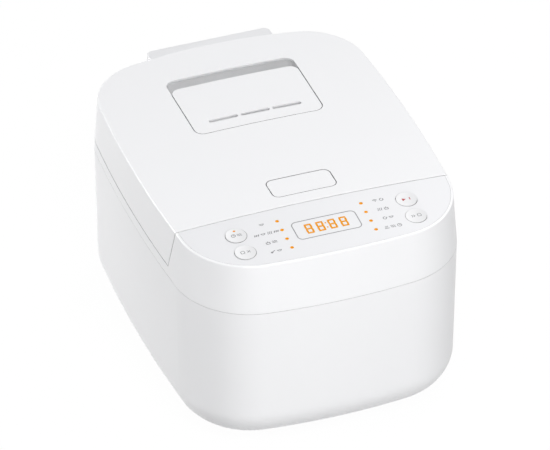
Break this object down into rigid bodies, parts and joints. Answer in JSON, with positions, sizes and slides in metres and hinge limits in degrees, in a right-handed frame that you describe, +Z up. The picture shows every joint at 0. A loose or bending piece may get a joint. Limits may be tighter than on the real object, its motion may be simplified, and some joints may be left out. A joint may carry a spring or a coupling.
{
  "type": "rice cooker",
  "caption": "White box-shaped electric rice cooker with a hinged lid, push release, lift-out steam vent, sloping control panel, inner pot and heater.",
  "frame": {"origin": "on the floor under the middle of the cooker's outline", "axes": "+X right, +Y towards the hinge at the back, +Z up"},
  "size_m": [0.266, 0.348, 0.202],
  "materials": {
    "shell_white": "satin gloss",
    "panel_white": "fine satin",
    "window_white": "translucent gloss",
    "key_silver": "pearl",
    "lamp_orange": "lit lens",
    "inner_grey": "moulded",
    "foot_rubber": "matte",
    "silicone": "soft matte",
    "steel": "plain",
    "pot_coat": "non-stick coat",
    "aluminium": "turned",
    "board_green": "solder mask",
    "component_black": "moulded",
    "heater_film": "foil on film",
    "brass": "bright"
  },
  "bodies": {
    "base": {"lower_shell": "shell_white", "upper_frame": "shell_white", "control_panel": "panel_white", "base_plate": "inner_grey", "feet": "foot_rubber", "base_screws": "steel", "inner_pot": "pot_coat", "pot_well": "steel", "heating_plate": "aluminium", "heater_element": "steel", "side_heater": "heater_film", "sensor_holder": "inner_grey", "sensor_spring": "steel", "thermal_fuse": "component_black", "control_board": "board_green", "board_screws": "steel", "tact_switches": "component_black", "display_module": "component_black", "display_window": "window_white", "indicator_lenses": "lamp_orange", "buzzer": "component_black", "power_board": "board_green", "power_components": "component_black", "power_inlet": "component_black", "inlet_pins": "brass", "hinge_pin": "steel", "lid_springs": "steel", "latch_keeper": "steel"},
    "lid": {"lid_cover": "shell_white", "lid_liner": "inner_grey", "lid_screws": "steel", "lid_heater": "heater_film", "inner_lid_plate": "aluminium", "steam_tube_seal": "silicone", "pot_seal": "silicone", "vent_cup": "inner_grey", "hinge_cover": "shell_white", "release_bracket": "inner_grey", "release_spring": "steel"},
    "steam_cap": {"vent_cap": "shell_white", "vent_base": "inner_grey", "vent_seal": "silicone"},
    "release": {"release_button": "shell_white"},
    "latch": {"latch_slider": "inner_grey"},
    "timer": {"timer_key": "key_silver", "timer_lamp": "lamp_orange"},
    "cancel": {"cancel_key": "key_silver"},
    "start": {"start_key": "key_silver"},
    "select": {"select_key": "key_silver"},
    "sensor": {"sensor_cap": "aluminium"}
  },
  "joints": [
    {"name": "lid_hinge", "type": "hinge", "parent": "base", "child": "lid", "pos_m": [0, 0.1695, 0.15], "axis": [-1, 0, 0], "range_deg": [0, 80]},
    {"name": "release_press", "type": "hinge", "parent": "lid", "child": "release", "pos_m": [0, -0.0595, 0.1963], "axis": [1, 0, 0], "range_deg": [0, 8], "stiffness_Nm_per_rad": 0.5, "springref_deg": -5.73, "deforming": ["release_spring"]},
    {"name": "latch_slide", "type": "slide", "parent": "lid", "child": "latch", "axis": [0, 1, 0], "range_m": [0, 0.0068]},
    {"name": "steam_cap_lift", "type": "slide", "parent": "lid", "child": "steam_cap", "axis": [0, 0, 1], "range_m": [0, 0.045]},
    {"name": "timer_press", "type": "slide", "parent": "base", "child": "timer", "axis": [0, 0.0732, -0.9973], "range_m": [0, 0.0008], "stiffness_N_per_m": 1500, "springref_m": -0.0003},
    {"name": "cancel_press", "type": "slide", "parent": "base", "child": "cancel", "axis": [0, 0.0732, -0.9973], "range_m": [0, 0.0008], "stiffness_N_per_m": 1500, "springref_m": -0.0003},
    {"name": "start_press", "type": "slide", "parent": "base", "child": "start", "axis": [0, 0.0732, -0.9973], "range_m": [0, 0.0008], "stiffness_N_per_m": 1500, "springref_m": -0.0003},
    {"name": "select_press", "type": "slide", "parent": "base", "child": "select", "axis": [0, 0.0732, -0.9973], "range_m": [0, 0.0008], "stiffness_N_per_m": 1500, "springref_m": -0.0003},
    {"name": "sensor_press", "type": "slide", "parent": "base", "child": "sensor", "axis": [0, 0, -1], "range_m": [0, 0.003], "stiffness_N_per_m": 800, "springref_m": -0.002, "deforming": ["sensor_spring"]}
  ],
  "couplings": [
    {"joint": "latch_slide", "follows": "release_press", "m_per_rad": 0.0444}
  ]
}
